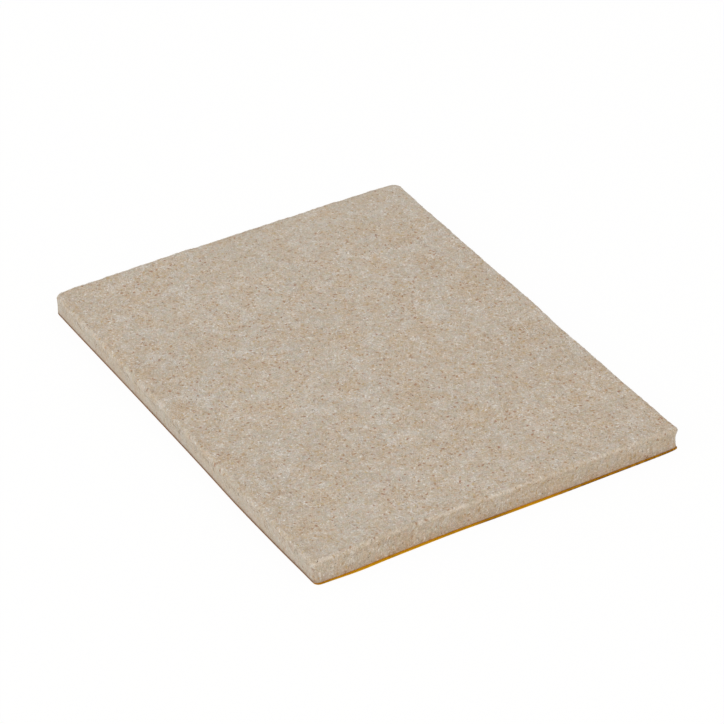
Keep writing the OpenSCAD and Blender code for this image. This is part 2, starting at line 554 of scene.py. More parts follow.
def fibre_tubes(paths, normals, radius):
    """Points (all, 3), walls and end faces of thin tubes round centre lines, slimmer at the ends."""
    along = unit(np.gradient(paths, axis=1))
    across = unit(np.cross(along, normals))
    up = np.cross(across, along)
    angles = TURN * np.arange(FIBRE_SIDES) / FIBRE_SIDES
    slim = TIP_SHARE + (1 - TIP_SHARE) * np.sin(np.pi * np.linspace(0, 1, FIBRE_POINTS))
    rim = across[:, :, None] * np.cos(angles)[:, None] + up[:, :, None] * np.sin(angles)[:, None]
    tubes = paths[:, :, None] + rim * (radius * slim)[None, :, None, None]
    index = np.arange(tubes[..., 0].size).reshape(tubes.shape[:3])
    after = np.roll(index, -1, axis=2)
    walls = np.stack([index[:, :-1], index[:, 1:], after[:, 1:], after[:, :-1]], axis=-1).reshape(-1, 4)
    ends = np.concatenate([index[:, 0], index[:, -1, ::-1]])
    return tubes.reshape(-1, 3), walls, ends


# Meshes and maps


def make_piece(name, points, faces, material, body, values, crease=np.pi):
    """A mesh object from points (n, 3) and arrays of faces, which may differ in their number of sides.

    Values hold one number for each point, by name, for the material to read. Edges that turn by more than
    the crease angle stay sharp. With a crease of 0 every face is flat.
    """
    mesh = bpy.data.meshes.new(name)
    corners = np.concatenate([group.ravel() for group in faces]).astype(np.int32)
    sides = np.concatenate([np.full(len(group), group.shape[1]) for group in faces])
    starts = np.append(0, np.cumsum(sides)[:-1]).astype(np.int32)
    mesh.vertices.add(len(points))
    mesh.vertices.foreach_set("co", points.astype(np.float32).ravel())
    mesh.loops.add(len(corners))
    mesh.loops.foreach_set("vertex_index", corners)
    mesh.polygons.add(len(sides))
    mesh.polygons.foreach_set("loop_start", starts)
    mesh.update(calc_edges=True)
    if mesh.validate():
        raise RuntimeError(f"{name} has faulty faces")
    if crease:
        mesh.shade_smooth()
        mesh.set_sharp_from_angle(angle=crease)
    else:
        mesh.shade_flat()
    mesh.materials.append(material)
    for value, held in values.items():
        attribute = mesh.attributes.new(value, "FLOAT", "POINT")
        attribute.data.foreach_set("value", held.astype(np.float32))
    made = bpy.data.objects.new(name, mesh)
    bpy.context.scene.collection.objects.link(made)
    if body:
        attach(made, body)
    return made


def add_bake_map(piece, corners):
    """Puts a UV map on a piece, from map places (corners, 2) in the order of its faces."""
    layer = piece.data.uv_layers.new(name=BAKE_MAP)
    layer.uv.foreach_set("vector", corners.astype(np.float32).ravel())


def cell_corners(u, v, next_u, next_v):
    """Map places (cells * 4, 2) of four-sided cells, each from its start along u first."""
    corners = ((u, v), (next_u, v), (next_u, next_v), (u, next_v))
    placed = [np.stack(np.broadcast_arrays(*corner), axis=-1) for corner in corners]
    return np.stack(placed, axis=-2).reshape(-1, 2)


# Shader nodes


def solid(tint):
    """A colour as the four numbers of a colour socket. Another node's output stays as it is."""
    return tint if isinstance(tint, bpy.types.NodeSocket) else (*tint, 1.0)


class Nodes:
    """Adds nodes to one node tree. Most methods give back the new node's output, for other nodes to take."""

    VALUE_SUMS = ("DOT_PRODUCT", "LENGTH")

    def __init__(self, tree):
        self.tree = tree

    def feed(self, node, inputs):
        """Sets each input of a node to a value, or links it to another node's output."""
        for name, value in inputs.items():
            if isinstance(value, bpy.types.NodeSocket):
                self.tree.links.new(value, node.inputs[name])
            else:
                node.inputs[name].default_value = value

    def add(self, kind, inputs=None, **settings):
        """A node with its settings and inputs."""
        made = self.tree.nodes.new(kind)
        for name, value in settings.items():
            setattr(made, name, value)
        self.feed(made, inputs or {})
        return made

    def group(self, name, **inputs):
        """The outputs of a node of a shared group, which is made on first use."""
        shared = bpy.data.node_groups.get(name) or GROUPS[name](name)
        return self.add("ShaderNodeGroup", inputs, node_tree=shared).outputs

    def attribute(self, name):
        """A value that the piece's points hold."""
        return self.add("ShaderNodeAttribute", attribute_name=name).outputs["Fac"]

    def maths(self, operation, first, second=0.5, third=0.5):
        """One sum on numbers."""
        return self.add("ShaderNodeMath", {0: first, 1: second, 2: third}, operation=operation).outputs[0]

    def times(self, first, second):
        """One number times another."""
        return self.maths("MULTIPLY", first, second)

    def vectors(self, operation, first, second=(0.0, 0.0, 0.0)):
        """One sum on vectors."""
        made = self.add("ShaderNodeVectorMath", {0: first, 1: second}, operation=operation)
        return made.outputs["Value" if operation in self.VALUE_SUMS else "Vector"]

    def scaled(self, vector, factor):
        """A vector times a number."""
        return self.add("ShaderNodeVectorMath", {0: vector, "Scale": factor}, operation="SCALE").outputs[0]

    def shifted(self, place, distance):
        """A place moved along all three axes, so that a pattern used twice doesn't repeat."""
        return self.vectors("ADD", place, (distance,) * 3)

    def mixed(self, factor, first, second, blend="MIX"):
        """A mix of two colours."""
        inputs = {0: factor, 6: solid(first), 7: solid(second)}
        return self.add("ShaderNodeMix", inputs, data_type="RGBA", blend_type=blend).outputs[2]

    def shaded(self, tint, shade):
        """A colour times a shade."""
        grey = self.add("ShaderNodeCombineColor", {0: shade, 1: shade, 2: shade}).outputs[0]
        return self.mixed(1.0, tint, grey, "MULTIPLY")

    def ranged(self, value, low, high, to_low=0.0, to_high=1.0):
        """A smooth map of a value from one range to another."""
        inputs = {"Value": value, "From Min": low, "From Max": high, "To Min": to_low, "To Max": to_high}
        return self.add("ShaderNodeMapRange", inputs, interpolation_type="SMOOTHSTEP").outputs["Result"]

    def noise(self, place, size, detail=1.0, rough=0.5, warp=0.0):
        """A noise whose lumps are about size across, in the units of place."""
        inputs = {"Vector": place, "Scale": 1.0 / size, "Detail": detail, "Roughness": rough}
        return self.add("ShaderNodeTexNoise", {**inputs, "Distortion": warp}).outputs[0]

    def pushed_about(self, place, scale, distance):
        """A place moved in every direction by a noise, up to about half a distance."""
        drift = self.add("ShaderNodeTexNoise", {"Vector": place, "Scale": scale, "Detail": 1.0})
        centred = self.vectors("SUBTRACT", drift.outputs["Color"], (0.5, 0.5, 0.5))
        return self.vectors("ADD", place, self.scaled(centred, distance))

    def mottled(self, place, amount):
        """An amount broken up into stronger and weaker spots."""
        return self.times(amount, self.ranged(self.noise(place, 0.9), 0.38, 0.6, 0.55, 1.0))

    def bump(self, height, strength, distance):
        """The normal of a bump with heights from 0 to 1 over a distance."""
        inputs = {"Strength": strength, "Distance": distance, "Height": height}
        return self.add("ShaderNodeBump", inputs).outputs["Normal"]

    def seen_rays(self):
        """1 on rays from the eye, straight or by way of gloss or glass, and 0 on the rest."""
        path = self.add("ShaderNodeLightPath").outputs
        seen = self.maths("ADD", path["Is Camera Ray"], path["Is Glossy Ray"])
        return self.maths("MINIMUM", self.maths("ADD", seen, path["Is Transmission Ray"]), 1.0)

    def show(self, output, unseen, seen):
        """Gives the tree's output one shader for the light and another for the eye."""
        inputs = {0: self.seen_rays(), 1: unseen.outputs[0], 2: seen.outputs[0]}
        self.add(output, {"Surface": self.add("ShaderNodeMixShader", inputs).outputs[0]})


def emptied(owner):
    """The node tree of a new material or world, with nothing in it."""
    owner.use_nodes = True
    owner.node_tree.nodes.clear()
    return Nodes(owner.node_tree)


def new_group(name, inputs, outputs):
    """An empty node group, the outputs of its input node, and its output node.

    An input with a default is a number, and one without is a vector.
    """
    tree = bpy.data.node_groups.new(name, "ShaderNodeTree")
    for socket, default in inputs.items():
        kind = "NodeSocketVector" if default is None else "NodeSocketFloat"
        made = tree.interface.new_socket(socket, in_out="INPUT", socket_type=kind)
        if default is not None:
            made.default_value = default
    for socket in outputs:
        tree.interface.new_socket(socket, in_out="OUTPUT", socket_type="NodeSocketFloat")
    nodes = Nodes(tree)
    return nodes, nodes.add("NodeGroupInput").outputs, nodes.add("NodeGroupOutput")


def short_fibres_group(name):
    """Mask of short fibres that lie in every direction.

    Three noises, drawn out along directions a third of a half turn apart on a place that is itself
    pushed about, give streaks. The strongest of the three counts, above a threshold.
    """
    inputs = {"Place": None, "Length": 1.6, "Width": 0.22, "Push": 1.2, "Threshold": 0.6, "Softness": 0.12}
    nodes, given, result = new_group(name, inputs, ["Mask", "Strength"])
    pushed = nodes.pushed_about(given["Place"], 0.4, given["Push"])
    lengthwise = nodes.maths("DIVIDE", 1.0, given["Length"])
    widthwise = nodes.maths("DIVIDE", 1.0, given["Width"])
    drawn = nodes.add("ShaderNodeCombineXYZ", {"X": lengthwise, "Y": widthwise, "Z": widthwise})
    strongest = 0.0
    for third in range(3):
        turn = {"Vector": pushed, "Angle": third * np.pi / 3}
        turned = nodes.add("ShaderNodeVectorRotate", turn, rotation_type="Z_AXIS")
        streaks = nodes.vectors("MULTIPLY", turned.outputs[0], drawn.outputs[0])
        value = nodes.noise(nodes.vectors("ADD", streaks, (17.0 * third, 5.0, 3.0)), 1.0, detail=0.5)
        strongest = nodes.maths("MAXIMUM", strongest, value)
    top = nodes.maths("ADD", given["Threshold"], given["Softness"])
    mask = nodes.ranged(strongest, given["Threshold"], top)
    nodes.feed(result, {"Mask": mask, "Strength": strongest})
    return nodes.tree


def flecks_group(name):
    """Mask of ragged flecks: ovals about the middles of some cells, picked by chance, of a cell pattern.

    The place is pushed about first, so that each fleck bends and frays. A fleck is drawn out along a random
    direction of its own: the offset from its middle counts less along that direction. Chance is another
    random number for each fleck.
    """
    inputs = {"Place": None, "Size": 0.5, "Share": 0.1, "Reach": 0.25, "Stretch": 2.5, "Ragged": 0.3}
    nodes, given, result = new_group(name, inputs, ["Mask", "Chance"])
    bent = nodes.pushed_about(given["Place"], 1.1, 0.5)
    frayed = nodes.pushed_about(bent, 4.0, given["Ragged"])
    scale = nodes.maths("DIVIDE", 1.0, given["Size"])
    cells = nodes.add("ShaderNodeTexVoronoi", {"Vector": frayed, "Scale": scale}).outputs
    chance = nodes.add("ShaderNodeSeparateColor", {"Color": cells["Color"]}).outputs
    picked = nodes.maths("LESS_THAN", chance["Red"], given["Share"])
    random = nodes.add("ShaderNodeTexWhiteNoise", {"Vector": cells["Color"]}).outputs["Color"]
    way = nodes.vectors("NORMALIZE", nodes.vectors("SUBTRACT", random, (0.5, 0.5, 0.5)))
    offset = nodes.vectors("SUBTRACT", frayed, cells["Position"])
    along = nodes.vectors("DOT_PRODUCT", offset, way)
    kept = nodes.maths("DIVIDE", 1.0, given["Stretch"])
    less = nodes.times(along, nodes.maths("SUBTRACT", kept, 1.0))
    distance = nodes.vectors("LENGTH", nodes.vectors("ADD", offset, nodes.scaled(way, less)))
    reach = nodes.times(given["Reach"], given["Size"])
    middle = nodes.ranged(distance, reach, nodes.times(reach, 0.4))
    nodes.feed(result, {"Mask": nodes.times(picked, middle), "Chance": chance["Green"]})
    return nodes.tree


GROUPS = {"Short fibres": short_fibres_group, "Flecks": flecks_group}


def new_material(name):
    """A material with a plain shader, and the place on the piece in millimetres."""
    material = bpy.data.materials.new(name)
    nodes = emptied(material)
    shader = nodes.add("ShaderNodeBsdfPrincipled")
    nodes.add("ShaderNodeOutputMaterial", {"Surface": shader.outputs[0]})
    coordinates = nodes.add("ShaderNodeTexCoord").outputs["Object"]
    place = nodes.add("ShaderNodeMapping", {"Vector": coordinates, "Scale": (1 / MM,) * 3})
    return material, nodes, shader, place.outputs[0]


def felt_material(felt):
    """Heathered felt: a beige ground, soft patches, rust and brown flecks, cream glints and fine grain."""
    material, nodes, shader, place = new_material("heathered_felt")
    # edge is the teased band: lighter teased fibres with a painted highlight on the shoulder.
    edge, calm, soaked_and_shaded, glued, foot_shade, rim_tint_and_shade = (nodes.attribute(name) for name in FELT_VALUES)
    liveliness = nodes.maths("MULTIPLY_ADD", calm, -0.7, 1.0)
    upright = nodes.vectors("MULTIPLY", place, (1.0, 1.0, 0.7))

    def spots(shift, size, detail=1.0):
        return nodes.noise(nodes.shifted(upright, shift), size, detail)

    def strewn(group, shift, **inputs):
        return nodes.group(group, Place=nodes.shifted(upright, shift), **inputs)

    def lively(mask):
        return nodes.times(mask, liveliness)

    grain = nodes.noise(upright, 0.3125, detail=2.0, rough=0.6, warp=1.0)
    tints = spots(71.0, 0.85, detail=1.5)
    clumps = spots(83.0, 1.5)
    pale_patches = spots(57.0, 3.6, detail=2.0)
    warm_patches = spots(0.0, 5.0, detail=2.0)
    slow = spots(41.0, 16.0)
    many = nodes.ranged(warm_patches, 0.3, 0.7, 0.25, 1.0)
    rust = strewn("Flecks", 0.0, Size=1.0, Share=many, Reach=0.3, Stretch=2.2, Ragged=0.35)
    some = nodes.ranged(warm_patches, 0.3, 0.7, 0.12, 0.6)
    dark = strewn("Flecks", 13.0, Size=0.9, Share=some, Reach=0.13, Stretch=3.0, Ragged=0.2)
    patchy = nodes.ranged(pale_patches, 0.35, 0.7, 0.06, 1.0)
    glints = strewn("Flecks", 29.0, Size=0.8, Share=patchy, Reach=0.27, Stretch=2.5, Ragged=0.4)
    pale = strewn("Short fibres", 0.0, Length=1.5, Width=0.2, Threshold=0.58)
    warm = strewn("Short fibres", 31.0, Length=1.0, Width=0.25, Threshold=0.6)

    # Each layer is laid over the ones before it, as (where, how strongly, colour).
    layers = (
        (lively(nodes.ranged(clumps, 0.5, 0.7)), 0.6, felt.cool),
        (lively(nodes.ranged(clumps, 0.5, 0.3)), 0.6, felt.honey),
        (lively(nodes.ranged(tints, 0.5, 0.68)), 0.55, felt.pink),
        (lively(nodes.ranged(tints, 0.5, 0.32)), 0.55, felt.sage),
        # Darker rims, and painted shade towards the near right corner.
        (rim_tint_and_shade, 0.1, felt.rim_tint_and_shade),
        (lively(nodes.ranged(warm_patches, 0.35, 0.7)), 0.35, felt.tan),
        (lively(nodes.ranged(pale_patches, 0.45, 0.75)), 0.22, felt.cream),
        (lively(warm["Mask"]), 0.45, felt.tan),
        (lively(pale["Mask"]), 0.36, felt.cream),
        # Painted highlight along the shoulder, with lighter teased fibres.
        (edge, 0.58, felt.teased_and_highlight),
        (lively(rust["Mask"]), 0.8, nodes.mixed(rust["Chance"], felt.ochre, felt.rust)),
        (lively(glints["Mask"]), 0.7, felt.cream),
        (lively(dark["Mask"]), 0.85, felt.brown),
        # Painted shade with a warm painted reflection of the liner, darker towards the foot.
        (foot_shade, 0.16, felt.foot_shade_tint),
        # Soaked-in adhesive and painted shade in a line at the foot.
        (soaked_and_shaded, 1.0, felt.soaked_and_shaded),
        (nodes.mottled(place, glued), 1.0, felt.glue),
    )
    ground = felt.beige
    for mask, strength, tint in layers:
        ground = nodes.mixed(nodes.times(mask, strength), ground, tint)
    swing = lively(nodes.ranged(grain, 0.25, 0.75, -0.2, 0.18))
    shade = nodes.maths("ADD", swing, nodes.ranged(slow, 0.3, 0.7, 0.985, 1.015))
    height = nodes.maths("MULTIPLY_ADD", pale["Strength"], 0.6, nodes.times(grain, 0.6))
    inputs = {
        "Base Color": nodes.shaded(ground, shade),
        "Roughness": 0.95,
        "Specular IOR Level": 0.2,
        "Sheen Weight": 0.12,
        "Sheen Roughness": 0.5,
        "Normal": nodes.bump(lively(height), 0.5, 0.08 * MM),
    }
    nodes.feed(shader, inputs)
    return material


def fibre_material(name, dark, pale):
    """Loose fibres: each takes a colour of its own between two, with a finer change along it."""
    material, nodes, shader, place = new_material(name)
    along = nodes.ranged(nodes.noise(place, 0.7), 0.3, 0.7)
    factor = nodes.maths("MULTIPLY_ADD", along, 0.3, nodes.times(nodes.attribute(TONE), 0.7))
    inputs = {
        "Base Color": nodes.mixed(factor, dark, pale),
        "Roughness": 0.7,
        "Specular IOR Level": 0.3,
        "Sheen Weight": 0.1,
    }
    nodes.feed(shader, inputs)
    return material


def tape_material(name, tape, ground, gloss):
    """A layer of tape: tissue fibres show through the adhesive, and dust lines the cut edge."""
    material, nodes, shader, place = new_material(name)
    fibres = nodes.group("Short fibres", Place=place, Length=4.0, Width=0.3, Threshold=0.58)
    clouds = nodes.noise(place, 7.0, detail=3.0)
    cut = nodes.attribute(CUT)
    clouded = nodes.shaded(ground, nodes.ranged(clouds, 0.3, 0.7, 0.94, 1.04))
    fibred = nodes.mixed(nodes.times(fibres["Mask"], 0.5), clouded, tape.tissue)
    edged = nodes.mixed(cut, fibred, tape.edge)
    rough = nodes.ranged(clouds, 0.3, 0.7, gloss, gloss + 0.12)
    inputs = {
        "Base Color": nodes.mixed(nodes.mottled(place, nodes.attribute(GLUED)), edged, tape.dust),
        "Roughness": nodes.maths("MULTIPLY_ADD", cut, 0.5, rough),
        "Coat Weight": 0.3,
        "Coat Roughness": 0.2,
        "Normal": nodes.bump(nodes.noise(place, 0.9), 0.25, 0.05 * MM),
    }
    nodes.feed(shader, inputs)
    return material


def liner_material(liner):
    """Dyed glassine paper: cloudy, with faint fibres and a low sheen from its silicone coat."""
    material, nodes, shader, place = new_material("yellow_glassine")
    fibres = nodes.group("Short fibres", Place=place, Length=3.0, Width=0.18, Threshold=0.6)
    clouds = nodes.noise(place, 5.0, detail=4.0, rough=0.6)
    cloudy = nodes.mixed(nodes.ranged(clouds, 0.3, 0.7), liner.yellow, liner.amber)
    fibred = nodes.mixed(nodes.times(fibres["Mask"], 0.25), cloudy, liner.amber)
    rim = nodes.times(nodes.maths("POWER", nodes.attribute(CUT), 6.0), 0.8)
    edged = nodes.mixed(rim, fibred, liner.edge)
    inputs = {
        "Base Color": nodes.mixed(nodes.mottled(place, nodes.attribute(GLUED)), edged, liner.dust),
        "Roughness": nodes.ranged(clouds, 0.3, 0.7, 0.34, 0.46),
        "Specular IOR Level": 0.15,
        "Normal": nodes.bump(clouds, 0.2, 0.02 * MM),
    }
    nodes.feed(shader, inputs)
    return material


def floor_material(stage):
    """Pale floor: plain to the light, and lifted to white for the eye while it keeps the pad's shadow."""
    material = bpy.data.materials.new("pale_floor")
    nodes = emptied(material)
    plain = nodes.add("ShaderNodeBsdfDiffuse", {"Color": solid((stage.floor,) * 3)})
    dim = nodes.add("ShaderNodeBsdfDiffuse", {"Color": solid((1 - stage.floor_glow,) * 3)})
    glow = nodes.add("ShaderNodeEmission", {"Color": (1.0,) * 4, "Strength": stage.floor_glow})
    shown = nodes.add("ShaderNodeAddShader", {0: dim.outputs[0], 1: glow.outputs[0]})
    nodes.show("ShaderNodeOutputMaterial", plain, shown)
    return material


# Operators


class FELTPAD_OT_slab(bpy.types.Operator):
    """Build the felt slab: a matted top, a soft shoulder and drawn-in cut sides"""

    bl_idname = "feltpad.slab"
    bl_label = "Felt slab"

    SHOULDER_STEPS = 6
    WALL_STEPS = 9
    # Height at which the wall's even rings stop, and heights of the rings below them.
    FOOT_HEIGHT = 0.4 * MM
    FOOT_STEPS = np.array([0.28, 0.18, 0.09, 0.0]) * MM
    # Darkening of the top's left and right rims, with the distance over which each fades, and painted
    # shade at its near right corner.
    LEFT_RIM = (4.2, 4 * MM)
    RIGHT_RIM = (0.4, 8 * MM)
    NEAR_RIGHT_SHADE = 2.2
    # How weak the flecks are at two ends of the top.
    CALM_END = 0.34
    # Half the width of the teased band, lighter fibres with a painted highlight, in bends of the shoulder,
    # and the waves of its patches.
    TEASED_HIGHLIGHT_HALF = 0.48
    TEASED_HIGHLIGHT_WAVES = (2.5 * MM, 12 * MM)
    # Scales of the map's parts, the room between them, and how high in the map the foot lies.
    TOP_SCALE = 0.0097 / MM
    STRIP_SCALE = 0.0078 / MM
    FOOT_SCALE = 0.0004 / MM
    MAP_MARGIN = 0.006
    FOOT_PLACE = 0.9

    def execute(self, context):
        felt = context.scene.felt_pad_felt
        form = FeltForm(felt)
        plan = form.plan
        top, _ = form.top(plan.x, plan.y)
        even = np.linspace(0, form.wall - self.FOOT_HEIGHT, self.WALL_STEPS + 1)[1:]
        falls = np.append(even, form.wall - self.FOOT_STEPS)
        drops = np.append(np.linspace(0, form.bend, self.SHOULDER_STEPS + 1)[1:], form.bend + falls)
        side, _ = form.side(plan.travel[None, :], drops[:, None])
        below = plan.index.size + np.arange(side[..., 0].size).reshape(side.shape[:2])
        rings = np.concatenate([plan.border[None, :], below])
        points = np.concatenate([top.reshape(-1, 3), side.reshape(-1, 3)])
        faces = [plan.grid_faces(), strip_faces(rings), rings[-1:, ::-1]]
        on_top, on_side = self.top_values(form), self.side_values(form, drops[:, None])
        values = {}
        for name in FELT_VALUES:
            upper = np.broadcast_to(on_top.get(name, 0.0), plan.x.shape)
            lower = np.broadcast_to(on_side.get(name, 0.0), side.shape[:2])
            values[name] = np.concatenate([upper.ravel(), lower.ravel()])
        slab = make_piece("felt_slab", points, faces, felt_material(felt), "pad", values)
        add_bake_map(slab, self.bake_places(plan, np.append(0, drops)))
        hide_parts("felt_pad")
        return {"FINISHED"}

    def top_values(self, form):
        """What the material reads on the top.

        It is darker near its left and right edges, and painted shade grows slowly towards the near right
        corner. Its flecks are weak towards the right end of the far edge and the left end of the near edge.
        """
        x, y = form.plan.x, form.plan.y
        from_left, from_right = form.half[0] + x, form.half[0] - x
        from_near, from_far = form.half[1] + y, form.half[1] - y
        corner = from_left / (2 * form.half[0]) * from_far / (2 * form.half[1])
        sides = ((self.LEFT_RIM, from_left), (self.RIGHT_RIM, from_right))
        rims = sum(dull * np.exp(-distance / fade) for (dull, fade), distance in sides)
        far_right = smooth_step(1 - from_far / (24 * MM)) * smooth_step(from_left / (20 * MM) - 1.2)
        near_left = smooth_step(1 - from_near / (16 * MM)) * smooth_step(1 - from_left / (30 * MM))
        return {RIM_AND_CORNER_SHADE: rims + self.NEAR_RIGHT_SHADE * corner, CALM: self.CALM_END * (far_right + near_left)}

    def side_values(self, form, drops):
        """What the material reads on the side, for each ring and each point round it.

        The shoulder is teased, lighter fibres with a painted highlight, most on the near side. The wall is
        calm but for the near side, most on the left. The foot has a narrow line of soaked-in adhesive and
        painted shade, or is glued on the near side, and painted shade, warmed by a painted reflection of the
        liner, reaches up from it on the near side and the left.
        """
        out_x, out_y = form.plan.out.T
        near, left = np.clip(-out_y, 0, 1), np.clip(-out_x, 0, 1)
        # The teased band, lighter fibres with a painted highlight, lies lower on the left.
        middle = 0.55 + 0.45 * left
        off_middle = np.clip((drops / form.bend - middle) / self.TEASED_HIGHLIGHT_HALF, -1, 1)
        x = form.plan.line[:, 0]
        line = np.column_stack([form.plan.line, 0 * x])
        patches = np.clip(1 + 0.4 * wave_noise(line, *self.TEASED_HIGHLIGHT_WAVES, TEASED_HIGHLIGHT_SEED), 0.2, 1.8)
        patches = patches * (1 - 0.5 * near * smooth_step(x / (14 * MM) - 1.7))
        teased_and_highlight = np.cos(np.pi / 2 * off_middle) ** 2 * (0.15 + 0.5 * near + 0.1 * left) * patches
        fall = np.clip(drops - form.bend, 0, form.wall)
        calm = smooth_step(fall / (0.6 * MM)) * (0.35 - 0.35 * near + 0.25 * left)
        low = smooth_step((fall - form.wall) / ((0.2 + 0.25 * left) * MM) + 1.3)
        # A line of soaked-in adhesive and painted shade at the foot, widest on the left.
        soaked_and_shaded = low * (1 - near) * (0.6 + 0.4 * left)
        glued = 0.2 * low * near * glue_share(x)
        # Painted shade and painted reflection of the liner, rising towards the foot.
        foot_shade = smooth_step(fall / form.wall * 1.6 - 0.6) * (near + 0.8 * left)
        return {TEASED_HIGHLIGHT: teased_and_highlight, CALM: calm, SOAKED_AND_SHADED: soaked_and_shaded, GLUED: glued, FOOT_SHADE: foot_shade}

    def bake_places(self, plan, drops):
        """Map places: the top as it lies, the four sides as upright strips on its right, the foot small."""
        margin = self.MAP_MARGIN
        start = np.array([plan.x.min(), plan.y.min()])
        top = (plan.plan_points() - start) * self.TOP_SCALE + margin
        rows, columns = plan.index.shape
        side_starts = np.cumsum([0, columns - 1, rows - 1, columns - 1])
        side = np.searchsorted(side_starts, np.arange(len(plan.border)), side="right") - 1
        side_travel = plan.travel[side_starts][side]
        first_strip = top[:, 0].max() + 2 * margin
        left = first_strip + side * (drops[-1] * self.STRIP_SCALE + margin)
        low = margin + (plan.travel - side_travel) * self.TOP_SCALE
        high = margin + (np.append(plan.travel[1:], plan.round) - side_travel) * self.TOP_SCALE
        across = drops[:, None] * self.STRIP_SCALE + left
        sides = cell_corners(across[:-1], low, across[1:], high)
        foot = (plan.line - start)[::-1] * self.FOOT_SCALE + (first_strip, self.FOOT_PLACE)
        return np.concatenate([top[plan.grid_faces()].reshape(-1, 2), sides, foot])


def scatter(name, chart, starts, rng, sizes, lift, loose_share, material, headings=None, scale=1.0):
    """Makes a piece of loose fibres on a chart of the felt, with lengths, bends and tones by chance."""
    count = len(starts[0])
    lengths = scale * (sizes.shortest + (sizes.longest - sizes.shortest) * rng.beta(*LENGTH_SHAPE, count))
    headings = rng.uniform(0, TURN, count) if headings is None else headings
    bends = rng.normal(0, BEND_SPREAD, count)
    lifts = lift * rng.uniform(*LIFT_RANGE, count)
    loose = rng.uniform(size=count) < loose_share
    paths, normals = fibre_paths(chart, starts, headings, lengths, bends, lifts, loose)
    points, walls, ends = fibre_tubes(paths, normals, sizes.radius)
    tones = np.repeat(rng.uniform(size=count), FIBRE_POINTS * FIBRE_SIDES)
    piece = make_piece(name, points, [walls, ends], material, "pad", {TONE: tones}, crease=0)
    add_bake_map(piece, fibre_places(count))


def fibre_places(count, margin=0.15):
    """Map places for fibres: each fibre has one square cell, with its walls as a small grid inside it."""
    across = int(np.ceil(np.sqrt(count)))
    cell = np.stack([np.arange(count) % across, np.arange(count) // across], axis=1) / across
    steps = FIBRE_POINTS - 1
    k, j = np.meshgrid(np.arange(steps), np.arange(FIBRE_SIDES), indexing="ij")
    wall = cell_corners(k, j, k + 1, j + 1) / (steps, FIBRE_SIDES)
    end = np.array([[0.0, 0.0], [0.3, 0.0], [0.0, 0.3]])

    def in_cells(places):
        return (cell[:, None] + (margin + (1 - 2 * margin) * places) / across).reshape(-1, 2)

    return np.concatenate([in_cells(wall), in_cells(end), in_cells(1 - end)])


class FELTPAD_OT_fibres(bpy.types.Operator):
    """Scatter loose cream, tan and brown fibres over the top"""

    bl_idname = "feltpad.fibres"
    bl_label = "Loose fibres"

    def execute(self, context):
        felt, sizes = context.scene.felt_pad_felt, context.scene.felt_pad_fibres
        form = FeltForm(felt)
        # Name, number, share of the full length, and the two colours between which each fibre lies.
        kinds = (
            ("cream_fibres", sizes.cream_count, 1.0, felt.beige, felt.cream),
            ("tan_fibres", sizes.tan_count, 0.6, felt.rust, felt.tan),
            ("brown_fibres", sizes.brown_count, 0.35, felt.brown, felt.rust),
        )
        for order, (name, count, scale, dark, pale) in enumerate(kinds):
            rng = np.random.default_rng(FIBRE_SEED + order)
            starts = form.top_places(rng, count)
            material = fibre_material(name, dark, pale)
            scatter(name, form.top, starts, rng, sizes, sizes.lift, LOOSE_ON_FELT, material, scale=scale)
        return {"FINISHED"}


class FELTPAD_OT_tufts(bpy.types.Operator):
    """Lay small pale tufts, of a few fibres side by side, on the top and on the near side"""

    bl_idname = "feltpad.tufts"
    bl_label = "Pale tufts"

    # Where wall tufts start, in shares of the near side's length and in bends of the shoulder.
    WALL_PLACES = (0.05, 0.95)
    WALL_DROPS = (0.3, 2.2)
    # Spread of the wall tufts' headings about straight down, and of the headings within a tuft.
    WALL_SPREAD = 0.25
    TUFT_SPREAD = 0.2

    def execute(self, context):
        felt, sizes = context.scene.felt_pad_felt, context.scene.felt_pad_fibres
        form = FeltForm(felt)
        rng = np.random.default_rng(TUFT_SEED)
        material = fibre_material("pale_tufts", felt.cream, felt.tuft)
        count, wall_count = sizes.tuft_count, sizes.wall_tuft_count
        middles = form.top_places(rng, count)
        headings = rng.uniform(0, TURN, count)
        self.lay("top_tufts", form.top, middles, headings, rng, sizes, material)
        # Travel starts at the near left corner and runs along the near side.
        travels = rng.uniform(*self.WALL_PLACES, wall_count) * 2 * form.half[0]
        drops = rng.uniform(*self.WALL_DROPS, wall_count) * form.bend
        headings = np.pi / 2 + rng.normal(0, self.WALL_SPREAD, wall_count)
        self.lay("wall_tufts", form.fibre_side, (travels, drops), headings, rng, sizes, material)
        return {"FINISHED"}

    def lay(self, name, chart, middles, headings, rng, sizes, material):
        """One piece of tufts: each middle repeated with small shifts, and each heading with small turns."""
        each = sizes.tuft_fibres
        shifts = rng.normal(0, sizes.tuft_spread, (2, len(headings) * each))
        starts = tuple(np.repeat(places, each) + shift for places, shift in zip(middles, shifts))
        turned = np.repeat(headings, each) + rng.normal(0, self.TUFT_SPREAD, len(headings) * each)
        scatter(name, chart, starts, rng, sizes, sizes.lift, LOOSE_ON_FELT, material, turned)


